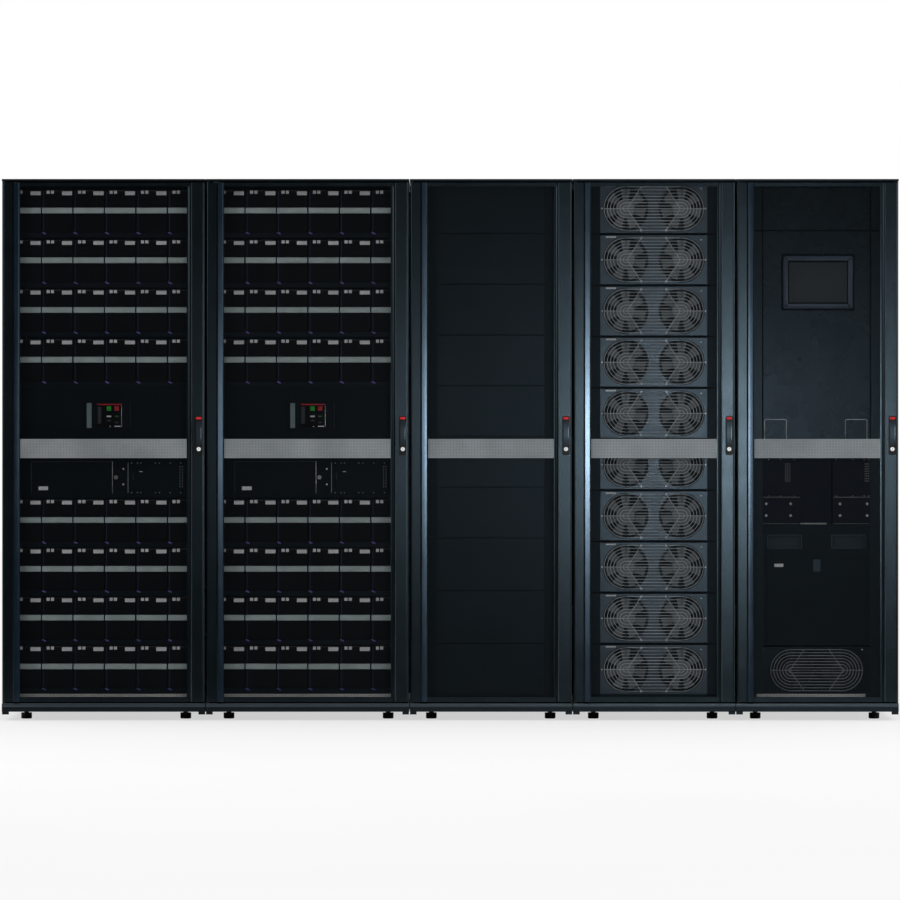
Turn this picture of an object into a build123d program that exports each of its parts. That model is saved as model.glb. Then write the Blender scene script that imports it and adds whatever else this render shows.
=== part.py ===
from build123d import *
import math
import os

# A row of five bayed data centre cabinets: two battery cabinets, one reserve cabinet, one power
# cabinet with ten fan-cooled modules and one control cabinet. Millimetres, +Z up, the doors face -Y.

# Overall sizes
wide_cabinet = 750
overall_height = 1991
cabinet_depth = 1070  # door face to rear panel
cabinet_kinds = ["battery", "battery", "reserve", "power", "control"]

# Base and feet
foot_height = 32
base_height = 31
base_round = 3  # rounded edges along the front of the base
base_side_width = 110
base_cross_depth = 80
foot_inset_x = 80
foot_inset_y = 190
foot_radius = 20
foot_round = 4  # rounded lower edge of the pad
foot_pad_height = 22
foot_stem_radius = 9
foot_nut_radius = 15
foot_nut_height = 7
lug_width = 24
lug_depth = 20
lug_height = 10
lug_inset = 1

# Carcass
seam_half = 1  # half of the gap between neighbouring bases and roofs
side_panel_thickness = 6
side_panel_chamfer = 2
post_width = 20
post_depth = 60
post_setback = 34  # door face to the front of the posts
roof_thickness = 8
rear_panel_thickness = 18
rear_panel_margin = 3
rear_panel_wall = 2
baying_block_depth = 40
baying_block_height = 60
baying_block_levels = 3

# Doors
door_gap = 3  # door edge to the cabinet's side line
door_end_gap = 5  # door end to base and roof
door_thickness = 24
hinge_flat_width = 37
bullnose_width = 28
bullnose_proud = 8
latch_flat_width = 48
cove_width = 18
cove_depth = 8
cove_sag = 2.5
lip_thickness = 10  # door face to the back of the lip round the opening
rebate = 9
latch_edge_round = 8
top_rail_height = 14
bottom_rail_height = 18
screen_thickness = 2
screen_clearance = 0.5
band_bottom = 965
band_height = 70
band_setback = 4

# Door pivots
pivot_offset = 7  # door's face and edge to the pivot
pivot_radius = 4
pivot_length = 20
pivot_collar_radius = 6
pivot_clearance = 0.3

# Door handles
plate_width = 27
plate_height = 144
plate_thickness = 3
plate_round = 6
plate_above_screen = 11  # lower edge of the band to the foot of the plate
plate_inset = 21.6  # door edge to the middle of the plate
lever_width = 18
lever_thickness = 8
lever_gap = 5  # lever to plate
lever_head_room = 19  # lever to the plate's top
lever_above_lock = 14
lever_foot_flare = 3
pin_radius = 2
pin_below_top = 6
ear_thickness = 2.6
ear_setback = 1  # front of the lever to the front of the ears
pin_clearance = 0.4
lock_radius = 7
lock_proud = 3
lock_above_foot = 22  # foot of the plate to the lock

# Equipment plane and mounting rails
equipment_setback = 60  # door face to the front of the equipment
equipment_width = 394
equipment_clearance = 0.3
rail_width = 76.7
rail_depth = 30

# Battery shelves and modules
shelf_width_clearance = 0.3
shelf_thickness = 2
shelf_lip = 18
shelf_depth = 720
top_row_headroom = 4
bottom_shelf_height = 52  # base to the lowest shelf
module_width = 114
module_height = 158
module_depth = 660
module_gap = 1.5  # least gap between neighbouring modules
module_end_gap = 1.7  # shelf's end to the outer module
row_headroom = 20  # least room from a module to the next shelf's face
module_setback = 8  # equipment plane to the module's face
module_edge = 2
grip_height = 21
grip_margin = 1.5  # module's side to the grip's end
grip_thickness = 8
grip_round = 3
grip_drop = 87  # grip's foot under the module's top

# Battery switch panel
switch_bay_above = 193  # band to the upper shelves
switch_bay_below = 148  # band to the lower modules
switch_panel_gap = 2
switch_panel_thickness = 3
breaker_width = 166
breaker_height = 96
breaker_proud = 12
breaker_x = 13
breaker_above_band = 39
breaker_window_x = 20
breaker_window_width = 94
breaker_window_height = 88
breaker_window_depth = 8
lower_cover_width = 305
lower_cover_height = 122
lower_cover_proud = 6
lower_cover_x = -123
lower_cover_below_band = 11
fuse_plate_width = 211
fuse_plate_height = 115
fuse_plate_proud = 4
fuse_plate_x = 190
fuse_plate_below_band = 15
panel_lock_radius = 8
panel_lock_x = 43
panel_lock_below_band = 71
panel_lock_proud = 8

# Blank panels of the reserve cabinet
blank_headroom = 5
blank_split = 669
blank_upper_count = 7
blank_lower_count = 3
blank_foot_room = 24
blank_gap = 3
blank_thickness = 16
blank_wall = 2

# Fan modules
fan_stack_foot_room = 33
fan_stack_headroom = 9
fan_module_count = 10
fan_module_gap = 9.8
fan_module_depth = 700
duct_wall = 5.5
duct_depth = 50
duct_side_wall = 10  # housing's side to the duct
shaft_radius = 6
shaft_clearance = 0.4
shaft_reach = 24
rotor_tip_gap = 6
rotor_setback = 10
hub_share = 0.44  # hub radius as a share of the rotor's
hub_depth = 34
hub_round = 5
hub_floor = 5
blade_count = 7
blade_thickness = 2
blade_chord_root = 26
blade_chord_tip = 40
blade_pitch_root = 42
blade_pitch_tip = 24
blade_sink = 2
guard_wire = 2.6
guard_thickness = 3
guard_margin = 8  # module's edge to the guard
guard_rings = 7
guard_hole = 11  # innermost ring's radius
guard_chevron_near = 46
guard_chevron_far = 98
tray_module_height = 170
tray_duct_side_wall = 24.5
tray_foot_room = 35
sill_top_gap = 1  # sill to the lowest shelf, panel or module

# Control cabinet
control_gap = 3
control_headroom = 21
top_panel_height = 157
control_panel_thickness = 18
display_width = 269
display_height = 207
display_x = 5
display_below_panel = 89  # top panel to the display
display_proud = 12
display_clearance = 0.3
display_round = 6
screen_width = 224
screen_height = 158
screen_recess = 3
switchgear_side_width = 137
switchgear_split = 105  # lower box's height
switchgear_proud = 10
switchgear_depth = 180
knob_radius = 11
knob_proud = 12
knob_x = 14
knob_steps = [33, 77]  # foot of the box to its knobs
selector_length = 46
selector_width = 18
selector_proud = 16
selector_step = 128
selector_plate_depth = 60
switch_module_gap = 8  # fan tray to the module
switch_module_height = 316
switch_module_margin = 13.5  # housing's side to the plug-in module
switch_module_proud = 14
switch_front_top = 719
switch_module_depth = 690
handle_pocket_width = 123
handle_pocket_height = 46
handle_pocket_depth = 26
handle_pocket_margin = 17.5  # housing's side to the hand hold
handle_pocket_step = 42  # module to the hand holds
switch_tab_width = 27
switch_tab_height = 45
switch_tab_proud = 8

# Places worked out from the sizes above
post_inner = side_panel_thickness + post_width
equipment_half = equipment_width / 2
narrow_cabinet = 2 * (equipment_half + equipment_clearance + rail_width + post_inner)
cabinet_widths = [wide_cabinet if kind == "battery" else narrow_cabinet for kind in cabinet_kinds]
cabinets = range(len(cabinet_kinds))
battery_cabinets = [index for index in cabinets if cabinet_kinds[index] == "battery"]
reserve_cabinet = cabinet_kinds.index("reserve")
power_cabinet = cabinet_kinds.index("power")
control_cabinet = cabinet_kinds.index("control")
row_width = sum(cabinet_widths)
lever_proud = plate_thickness + lever_gap + lever_thickness
door_face = -(cabinet_depth + lever_proud) / 2 + lever_proud
rear_face = door_face + cabinet_depth
equipment_plane = door_face + equipment_setback
post_front = door_face + post_setback
post_back = rear_face - rear_panel_thickness
base_top = foot_height + base_height
roof_bottom = overall_height - roof_thickness
door_bottom = base_top + door_end_gap
door_top = roof_bottom - door_end_gap
hinge_stile_width = hinge_flat_width + bullnose_width
latch_stile_width = latch_flat_width + cove_width
opening_bottom = door_bottom + bottom_rail_height
opening_top = door_top - top_rail_height
band_top = band_bottom + band_height
plate_bottom = band_bottom + plate_above_screen
lock_height = plate_bottom + lock_above_foot
lever_bottom = lock_height + lever_above_lock
lever_top = plate_bottom + plate_height - lever_head_room
switch_bay_top = band_top + switch_bay_above
switch_bay_bottom = band_bottom - switch_bay_below
upper_shelf_bottom = switch_bay_top + shelf_lip
upper_room = roof_bottom - top_row_headroom - upper_shelf_bottom
upper_rows = int(upper_room / (module_height + row_headroom))
lower_shelf_bottom = base_top + bottom_shelf_height
lower_room = switch_bay_bottom + shelf_lip - lower_shelf_bottom
lower_rows = int(lower_room / (module_height + row_headroom))
shelf_half = wide_cabinet / 2 - post_inner - shelf_width_clearance
module_run = 2 * (shelf_half - module_end_gap)
modules_per_row = int((module_run + module_gap) / (module_width + module_gap))
module_pitch = (module_run - module_width) / (modules_per_row - 1)
fan_stack_bottom = base_top + fan_stack_foot_room
fan_stack_height = roof_bottom - fan_stack_headroom - fan_stack_bottom
fan_module_pitch = (fan_stack_height + fan_module_gap) / fan_module_count
fan_module_height = fan_module_pitch - fan_module_gap
tray_bottom = base_top + tray_foot_room
control_top = roof_bottom - control_headroom
top_panel_bottom = control_top - top_panel_height
control_panel_bottom = band_bottom + control_gap
display_bottom = top_panel_bottom - display_below_panel - display_height
switchgear_top = band_bottom
switchgear_bottom = switch_front_top
switch_module_bottom = tray_bottom + tray_module_height + switch_module_gap
switch_module_top = switch_module_bottom + switch_module_height


def cabinet_left(index):
    return -row_width / 2 + sum(cabinet_widths[:index])


def cabinet_right(index):
    return cabinet_left(index) + cabinet_widths[index]


def cabinet_middle(index):
    return cabinet_left(index) + cabinet_widths[index] / 2


def block(x0, x1, y0, y1, z0, z1):
    size = Box(x1 - x0, y1 - y0, z1 - z0)
    return Pos((x0 + x1) / 2, (y0 + y1) / 2, (z0 + z1) / 2) * size


def upright(outline, z0, z1):
    # A plan outline stood up from z0 to z1.
    return Pos(0, 0, z0) * extrude(make_face(outline), z1 - z0)


def rod(x, z, radius, y0, y1):
    # A round bar along Y.
    return Pos(x, (y0 + y1) / 2, z) * Rot(90, 0, 0) * Cylinder(radius, y1 - y0)


def pillar(x, y, radius, z0, z1):
    return Pos(x, y, (z0 + z1) / 2) * Cylinder(radius, z1 - z0)


def save(name, solids):
    export_step(Compound(children=list(solids)), "parts/" + name + ".step")


def save_one(name, solid):
    export_step(solid, "parts/" + name + ".step")


def pivot_place(index):
    return cabinet_left(index) + door_gap + pivot_offset, door_face + pivot_offset


def base_frame(index):
    left = cabinet_left(index) + seam_half
    right = cabinet_right(index) - seam_half
    frame = block(left, right, door_face, rear_face, foot_height, base_top)
    frame = fillet(frame.faces().sort_by(Axis.Y)[0].edges().filter_by(Axis.X), base_round)
    frame -= block(
        left + base_side_width,
        right - base_side_width,
        door_face + base_cross_depth,
        rear_face - base_cross_depth,
        foot_height,
        base_top,
    )
    for near in (left + lug_inset, right - lug_inset - lug_width):
        for front in (door_face + lug_inset, rear_face - lug_inset - lug_depth):
            frame += block(
                near, near + lug_width, front, front + lug_depth, foot_height - lug_height, foot_height
            )
    x, y = pivot_place(index)
    collar_top = door_bottom - pivot_clearance
    frame += pillar(x, y, pivot_collar_radius, base_top - base_round, collar_top)
    frame += pillar(x, y, pivot_radius, base_top, door_bottom + pivot_length - door_end_gap)
    return frame


def roof_panel(index):
    left = cabinet_left(index) + seam_half
    right = cabinet_right(index) - seam_half
    roof = block(left, right, door_face, rear_face, roof_bottom, overall_height)
    x, y = pivot_place(index)
    collar_bottom = door_top + pivot_clearance
    roof += pillar(x, y, pivot_collar_radius, collar_bottom, roof_bottom)
    roof += pillar(x, y, pivot_radius, door_top - pivot_length + door_end_gap, roof_bottom)
    return roof


def foot(x, y):
    with BuildPart() as turned:
        with BuildSketch(Plane.XZ):
            with BuildLine():
                Polyline(
                    (0, 0),
                    (foot_radius, 0),
                    (foot_radius, foot_pad_height),
                    (foot_stem_radius, foot_pad_height),
                    (foot_stem_radius, foot_height - foot_nut_height),
                    (foot_nut_radius, foot_height - foot_nut_height),
                    (foot_nut_radius, foot_height),
                    (0, foot_height),
                    close=True,
                )
            make_face()
        revolve(axis=Axis.Z)
        fillet(turned.edges().sort_by(Axis.Z)[0], foot_round)
    return Pos(x, y, 0) * turned.part


def feet():
    for index in cabinets:
        for x in (cabinet_left(index) + foot_inset_x, cabinet_right(index) - foot_inset_x):
            for y in (door_face + foot_inset_y, rear_face - foot_inset_y):
                yield foot(x, y)


def posts():
    for index in cabinets:
        left = cabinet_left(index) + side_panel_thickness
        right = cabinet_right(index) - side_panel_thickness
        for x0, x1 in ((left, left + post_width), (right - post_width, right)):
            for y0, y1 in ((post_front, post_front + post_depth), (post_back - post_depth, post_back)):
                yield block(x0, x1, y0, y1, base_top, roof_bottom)


def baying_blocks():
    gap = side_panel_thickness
    span = roof_bottom - base_top
    for index in range(1, len(cabinet_widths)):
        seam = cabinet_left(index)
        for y in (post_front + post_depth / 2, post_back - post_depth / 2):
            for level in range(baying_block_levels):
                z = base_top + span * (level + 0.5) / baying_block_levels
                yield block(
                    seam - gap,
                    seam + gap,
                    y - baying_block_depth / 2,
                    y + baying_block_depth / 2,
                    z - baying_block_height / 2,
                    z + baying_block_height / 2,
                )


def side_panels():
    for outer, inner in (
        (-row_width / 2, -row_width / 2 + side_panel_thickness),
        (row_width / 2, row_width / 2 - side_panel_thickness),
    ):
        panel = block(min(outer, inner), max(outer, inner), post_front, post_back, base_top, roof_bottom)
        edges = panel.faces().sort_by(Axis.X)[0 if outer < 0 else -1].edges()
        yield chamfer(edges, side_panel_chamfer)


def rear_panel(index):
    left = cabinet_left(index) + rear_panel_margin
    right = cabinet_right(index) - rear_panel_margin
    panel = block(left, right, post_back, rear_face, base_top, roof_bottom)
    panel = chamfer(panel.faces().sort_by(Axis.Y)[-1].edges(), rear_panel_wall)
    return panel - block(
        left + post_inner,
        right - post_inner,
        post_back,
        rear_face - rear_panel_wall,
        base_top + post_inner,
        roof_bottom - post_inner,
    )


def hinge_stile_outline(left):
    # The rounded outer edge is centred on the pivot, so it turns in its own space.
    face = door_face
    back = door_face + door_thickness
    flat_end = left + hinge_flat_width
    nose_end = flat_end + bullnose_width
    corner = pivot_offset * (1 - math.sqrt(0.5))
    lip = door_face + lip_thickness
    return Wire(
        [
            Line((left + pivot_offset, face), (flat_end, face)),
            ThreePointArc(
                (flat_end, face),
                (flat_end + bullnose_width / 2, face - bullnose_proud),
                (nose_end, face),
            ),
            Line((nose_end, face), (nose_end, lip)),
            Line((nose_end, lip), (nose_end - rebate, lip)),
            Line((nose_end - rebate, lip), (nose_end - rebate, back)),
            Line((nose_end - rebate, back), (left, back)),
            Line((left, back), (left, face + pivot_offset)),
            ThreePointArc(
                (left, face + pivot_offset),
                (left + corner, face + corner),
                (left + pivot_offset, face),
            ),
        ]
    )


def latch_stile_outline(inner, outer):
    face = door_face
    back = door_face + door_thickness
    lip = door_face + lip_thickness
    cove_end = inner + cove_width
    slope = math.hypot(cove_width, cove_depth)
    middle = (
        inner + cove_width / 2 + cove_sag * cove_depth / slope,
        face + cove_depth / 2 + cove_sag * cove_width / slope,
    )
    corner = latch_edge_round * (1 - math.sqrt(0.5))
    return Wire(
        [
            ThreePointArc((inner, face + cove_depth), middle, (cove_end, face)),
            Line((cove_end, face), (outer - latch_edge_round, face)),
            ThreePointArc(
                (outer - latch_edge_round, face),
                (outer - corner, face + corner),
                (outer, face + latch_edge_round),
            ),
            Line((outer, face + latch_edge_round), (outer, back)),
            Line((outer, back), (inner + rebate, back)),
            Line((inner + rebate, back), (inner + rebate, lip)),
            Line((inner + rebate, lip), (inner, lip)),
            Line((inner, lip), (inner, face + cove_depth)),
        ]
    )


def door_sides(index):
    left = cabinet_left(index) + door_gap
    right = cabinet_right(index) - door_gap
    return left, right, left + hinge_stile_width, right - latch_stile_width


def door_frame(index):
    left, right, inner_left, inner_right = door_sides(index)
    back = door_face + door_thickness
    lip = door_face + lip_thickness
    frame = upright(hinge_stile_outline(left), door_bottom, door_top)
    frame += upright(latch_stile_outline(inner_right, right), door_bottom, door_top)
    from_x = inner_left - rebate
    to_x = inner_right + rebate
    frame += block(from_x, to_x, door_face + cove_depth / 2, lip, door_bottom, opening_bottom)
    frame += block(from_x, to_x, door_face + cove_depth / 2, lip, opening_top, door_top)
    frame += block(from_x, to_x, lip, back, door_bottom, opening_bottom - rebate)
    frame += block(from_x, to_x, lip, back, opening_top + rebate, door_top)
    x, y = pivot_place(index)
    bore = pivot_radius + pivot_clearance
    depth = pivot_length
    frame -= pillar(x, y, bore, door_bottom, door_bottom + depth)
    frame -= pillar(x, y, bore, door_top - depth, door_top)
    return frame


def door_screens(index):
    left, right, inner_left, inner_right = door_sides(index)
    lip = door_face + lip_thickness
    x0 = inner_left - rebate + screen_clearance
    x1 = inner_right + rebate - screen_clearance
    edge = rebate - screen_clearance
    back = lip + screen_thickness
    lower = block(x0, x1, lip, back, opening_bottom - edge, band_bottom - screen_clearance)
    upper = block(x0, x1, lip, back, band_top + screen_clearance, opening_top + edge)
    band = block(x0, x1, lip, back, band_bottom, band_top)
    band += block(
        inner_left + screen_clearance,
        inner_right - screen_clearance,
        door_face + band_setback,
        lip,
        band_bottom,
        band_top,
    )
    return [lower, band, upper]


def lever_place(index):
    return cabinet_right(index) - door_gap - plate_inset


def pin_place():
    y = door_face - plate_thickness - lever_gap - lever_thickness / 2
    return y, lever_top - pin_below_top


def lock_plate(index):
    x = lever_place(index)
    y, z = pin_place()
    front = door_face - plate_thickness
    plate = block(
        x - plate_width / 2,
        x + plate_width / 2,
        front,
        door_face,
        plate_bottom,
        plate_bottom + plate_height,
    )
    plate = fillet(plate.edges().filter_by(Axis.Y), plate_round)
    reach = lever_width / 2 + pin_clearance
    for side in (-1, 1):
        inner = x + side * reach
        outer = x + side * (reach + ear_thickness)
        plate += block(
            min(inner, outer),
            max(inner, outer),
            door_face - lever_proud + ear_setback,
            front,
            z - pin_below_top,
            z + pin_below_top,
        )
    plate += Pos(x, y, z) * Rot(0, 90, 0) * Cylinder(pin_radius, 2 * reach + ear_thickness)
    plate += rod(x, lock_height, lock_radius, front - lock_proud, front)
    return plate


def lever(index):
    x = lever_place(index)
    y, z = pin_place()
    front = door_face - lever_proud
    back = front + lever_thickness
    middle = (lever_bottom + lever_top) / 2
    side = Wire(
        [
            Line((back, lever_top), (back, lever_bottom)),
            Line((back, lever_bottom), (front, lever_bottom)),
            ThreePointArc((front, lever_bottom), (front + lever_foot_flare, middle), (front, lever_top)),
            Line((front, lever_top), (back, lever_top)),
        ]
    )
    paddle = extrude(Plane.YZ * make_face(side), lever_width / 2, both=True)
    paddle = Pos(x, 0, 0) * paddle
    bore = Cylinder(pin_radius + pin_clearance, lever_width * 2)
    return paddle - Pos(x, y, z) * Rot(0, 90, 0) * bore


def shelf(index, top):
    left = cabinet_middle(index) - shelf_half
    right = cabinet_middle(index) + shelf_half
    y0 = equipment_plane
    tray = block(left, right, y0, y0 + shelf_depth, top - shelf_thickness, top)
    return tray + block(left, right, y0, y0 + shelf_thickness, top - shelf_lip, top)


def shelf_tops():
    for lowest, room, rows in (
        (upper_shelf_bottom, upper_room, upper_rows),
        (lower_shelf_bottom, lower_room, lower_rows),
    ):
        for row in range(rows):
            yield lowest + row * room / rows


def module_middles(index):
    first = cabinet_middle(index) - module_pitch * (modules_per_row - 1) / 2
    return [first + module_pitch * number for number in range(modules_per_row)]


def battery_module(x, shelf_top):
    half = module_width / 2
    y0 = equipment_plane + module_setback
    body = block(x - half, x + half, y0, y0 + module_depth, shelf_top, shelf_top + module_height)
    return chamfer(body.faces().sort_by(Axis.Y)[0].edges(), module_edge)


def grip(x, shelf_top):
    y1 = equipment_plane + module_setback
    z0 = shelf_top + module_height - grip_drop
    half = module_width / 2 - grip_margin
    bar = block(x - half, x + half, y1 - grip_thickness, y1, z0, z0 + grip_height)
    front = bar.faces().sort_by(Axis.Y)[0].edges().filter_by(Axis.X)
    return fillet(front, grip_round)


def raised_plate(middle, offset, width, proud, bottom, height):
    return block(
        middle + offset - width / 2,
        middle + offset + width / 2,
        equipment_plane - proud,
        equipment_plane,
        bottom,
        bottom + height,
    )


def switch_panel(index):
    middle = cabinet_middle(index)
    panel = block(
        middle - shelf_half,
        middle + shelf_half,
        equipment_plane,
        equipment_plane + switch_panel_thickness,
        switch_bay_bottom + switch_panel_gap,
        switch_bay_top - switch_panel_gap,
    )
    breaker_bottom = band_top + breaker_above_band
    breaker = raised_plate(
        middle, breaker_x, breaker_width, breaker_proud, breaker_bottom, breaker_height
    )
    window_bottom = breaker_bottom + (breaker_height - breaker_window_height) / 2
    window = raised_plate(
        middle,
        breaker_window_x,
        breaker_window_width,
        breaker_proud,
        window_bottom,
        breaker_window_height,
    )
    breaker -= Pos(0, breaker_window_depth - breaker_proud, 0) * window
    panel += breaker
    panel += raised_plate(
        middle,
        lower_cover_x,
        lower_cover_width,
        lower_cover_proud,
        band_bottom - lower_cover_below_band - lower_cover_height,
        lower_cover_height,
    )
    panel += raised_plate(
        middle,
        fuse_plate_x,
        fuse_plate_width,
        fuse_plate_proud,
        band_bottom - fuse_plate_below_band - fuse_plate_height,
        fuse_plate_height,
    )
    lock_z = band_bottom - panel_lock_below_band
    front = equipment_plane - panel_lock_proud
    return panel + rod(middle + panel_lock_x, lock_z, panel_lock_radius, front, equipment_plane)


def mounting_rails():
    for index in (reserve_cabinet, power_cabinet, control_cabinet):
        middle = cabinet_middle(index)
        inner = equipment_half + equipment_clearance
        outer = inner + rail_width
        for x0, x1 in ((middle - outer, middle - inner), (middle + inner, middle + outer)):
            yield block(
                x0, x1, equipment_plane, equipment_plane + rail_depth, base_top, roof_bottom
            )


def sills():
    # A cross rail at the foot of each cabinet's equipment.
    tops = {
        "battery": lower_shelf_bottom - shelf_lip,
        "reserve": base_top + blank_foot_room + blank_gap,
        "power": fan_stack_bottom,
        "control": tray_bottom,
    }
    for index in cabinets:
        kind = cabinet_kinds[index]
        half = shelf_half if kind == "battery" else equipment_half
        middle = cabinet_middle(index)
        y0 = equipment_plane
        top = tops[kind] - sill_top_gap
        yield block(middle - half, middle + half, y0, y0 + rail_depth, base_top, top)


def tray_panel(middle, bottom, top, thickness, wall):
    # A folded sheet panel: a face with its edges turned back.
    left = middle - equipment_half
    right = middle + equipment_half
    back = equipment_plane + thickness
    panel = block(left, right, equipment_plane, back, bottom, top)
    return panel - block(
        left + wall,
        right - wall,
        equipment_plane + wall,
        back,
        bottom + wall,
        top - wall,
    )


def blank_panels():
    middle = cabinet_middle(reserve_cabinet)
    top = roof_bottom - blank_headroom
    upper = (top - blank_split) / blank_upper_count
    lower = (blank_split - base_top - blank_foot_room) / blank_lower_count
    pitches = [upper] * blank_upper_count + [lower] * blank_lower_count
    for pitch in pitches:
        yield tray_panel(middle, top - pitch + blank_gap, top, blank_thickness, blank_wall)
        top -= pitch


def duct_radius(height):
    return height / 2 - duct_wall


def duct_spacing(height, side_wall):
    return equipment_width - 2 * (side_wall + duct_radius(height))


def fan_housing(middle, bottom, height, spacing):
    left = middle - equipment_half
    right = middle + equipment_half
    y0 = equipment_plane
    housing = block(left, right, y0, y0 + fan_module_depth, bottom, bottom + height)
    z = bottom + height / 2
    for x in (middle - spacing / 2, middle + spacing / 2):
        housing -= rod(x, z, duct_radius(height), y0, y0 + duct_depth)
        housing += rod(x, z, shaft_radius, y0 + duct_depth - shaft_reach, y0 + duct_depth)
    return housing


def rotor(radius):
    # Hub and blades about the Y axis, with the front of the hub at y = 0.
    hub_radius = radius * hub_share
    hub = Rot(90, 0, 0) * Cylinder(hub_radius, hub_depth)
    hub = Pos(0, hub_depth / 2, 0) * hub
    hub = fillet(hub.edges().sort_by(Axis.Y)[0], hub_round)
    blade = loft(
        [
            Plane(
                origin=(0, hub_depth / 2, span),
                x_dir=(math.cos(math.radians(pitch)), math.sin(math.radians(pitch)), 0),
                z_dir=(0, 0, 1),
            )
            * Rectangle(chord, blade_thickness)
            for span, pitch, chord in (
                (hub_radius - blade_sink, blade_pitch_root, blade_chord_root),
                (
                    math.sqrt(radius**2 - (blade_chord_tip / 2) ** 2) - blade_thickness,
                    blade_pitch_tip,
                    blade_chord_tip,
                ),
            )
        ],
        ruled=True,
    )
    wheel = hub
    for number in range(blade_count):
        wheel += Rot(0, 360 * number / blade_count, 0) * blade
    bore = shaft_radius + shaft_clearance
    return wheel - rod(0, 0, bore, hub_floor, hub_depth)


def racetrack(spacing, radius):
    return SlotCenterToCenter(spacing, 2 * radius)


def guard(spacing, radius):
    # Wires in one plane: racetrack rings, a straight middle wire and two bent stays.
    wires = Sketch()
    step = (radius - guard_hole) / (guard_rings - 1)
    for ring in range(guard_rings):
        outer = radius - ring * step
        wires += racetrack(spacing, outer) - racetrack(spacing, outer - guard_wire)
    half = spacing / 2 + radius
    wires += Rectangle(2 * half - guard_wire, guard_wire)
    top = radius - guard_wire / 2
    for side in (-1, 1):
        near = side * guard_chevron_near
        far = side * guard_chevron_far
        for end in (-1, 1):
            start = Vector(near, end * top)
            stop = Vector(far, 0)
            run = stop - start
            angle = math.degrees(math.atan2(run.Y, run.X))
            centre = start + run * 0.5
            wires += Pos(centre.X, centre.Y) * Rot(0, 0, angle) * Rectangle(run.length, guard_wire)
    return extrude(Plane.XZ * wires, guard_thickness)


def fan_places():
    # Middle x, bottom z, height and spacing of each pair of fans, from the top down.
    spacing = duct_spacing(fan_module_height, duct_side_wall)
    for number in range(fan_module_count):
        bottom = fan_stack_bottom + (fan_module_count - 1 - number) * fan_module_pitch
        yield cabinet_middle(power_cabinet), bottom, fan_module_height, spacing
    spacing = duct_spacing(tray_module_height, tray_duct_side_wall)
    yield cabinet_middle(control_cabinet), tray_bottom, tray_module_height, spacing


def control_panels():
    middle = cabinet_middle(control_cabinet)
    left = middle - equipment_half
    right = middle + equipment_half
    y0 = equipment_plane
    y1 = equipment_plane + control_panel_thickness
    top = block(left, right, y0, y1, top_panel_bottom, control_top)
    door = block(left, right, y0, y1, control_panel_bottom, top_panel_bottom - control_gap)
    x0 = middle + display_x - display_width / 2
    x1 = x0 + display_width
    z0 = display_bottom
    z1 = z0 + display_height
    gap = display_clearance
    door -= block(x0 - gap, x1 + gap, y0, y1, z0 - gap, z1 + gap)
    bezel = block(x0, x1, y0 - display_proud, y1, z0, z1)
    bezel = chamfer(bezel.faces().sort_by(Axis.Y)[0].edges(), display_round)
    x = middle + display_x
    z = (z0 + z1) / 2
    bezel -= block(
        x - screen_width / 2,
        x + screen_width / 2,
        y0 - display_proud,
        y0 - display_proud + screen_recess,
        z - screen_height / 2,
        z + screen_height / 2,
    )
    return [top, door, bezel]


def switchgear():
    middle = cabinet_middle(control_cabinet)
    left = middle - equipment_half
    right = middle + equipment_half
    y0 = equipment_plane - switchgear_proud
    y1 = equipment_plane + switchgear_depth
    inner = left + switchgear_side_width
    split = switchgear_bottom + switchgear_split
    upper = block(left, inner, y0, y1, split + control_gap, switchgear_top - control_gap)
    lower = block(left, inner, y0, y1, switchgear_bottom, split)
    for step in knob_steps:
        z = switchgear_bottom + step
        lower += rod(inner - knob_x, z, knob_radius, y0 - knob_proud, y0)
    other = block(
        right - switchgear_side_width, right, y0, y1, switchgear_bottom, switchgear_top - control_gap
    )
    plate = block(
        inner + control_gap,
        right - switchgear_side_width - control_gap,
        equipment_plane + selector_plate_depth,
        y1,
        switchgear_bottom,
        switchgear_top - control_gap,
    )
    slot = Plane.XZ * SlotOverall(selector_length, selector_width)
    knob = extrude(slot, selector_proud)
    z = switchgear_bottom + selector_step
    plate += Pos(middle, equipment_plane + selector_plate_depth, z) * knob
    return [upper, lower, other, plate]


def switch_module():
    middle = cabinet_middle(control_cabinet)
    left = middle - equipment_half
    right = middle + equipment_half
    y0 = equipment_plane
    body = block(left, right, y0, y0 + switch_module_depth, switch_module_bottom, switch_front_top)
    pocket_bottom = switch_module_top + handle_pocket_step
    for x0 in (left + handle_pocket_margin, right - handle_pocket_margin - handle_pocket_width):
        body -= block(
            x0,
            x0 + handle_pocket_width,
            y0,
            y0 + handle_pocket_depth,
            pocket_bottom,
            pocket_bottom + handle_pocket_height,
        )
    body += block(
        left + switch_module_margin,
        right - switch_module_margin,
        y0 - switch_module_proud,
        y0,
        switch_module_bottom,
        switch_module_top,
    )
    front = y0 - switch_module_proud
    body += block(
        middle - switch_tab_width / 2,
        middle + switch_tab_width / 2,
        front - switch_tab_proud,
        front,
        switch_module_top - switch_tab_height,
        switch_module_top,
    )
    return body


os.makedirs("parts", exist_ok=True)

save("base_frames", [base_frame(index) for index in cabinets])
save("roof_panels", [roof_panel(index) for index in cabinets])
save("levelling_feet", feet())
save("corner_posts", posts())
save("baying_blocks", baying_blocks())
save("side_panels", side_panels())
save("rear_panels", [rear_panel(index) for index in cabinets])
save("mounting_rails", list(mounting_rails()) + list(sills()))

for index in cabinets:
    name = "door_" + str(index + 1)
    save_one(name + "_frame", door_frame(index))
    save(name + "_screens", door_screens(index))
    save_one(name + "_lock_plate", lock_plate(index))
    save_one(name + "_lever", lever(index))

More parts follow.
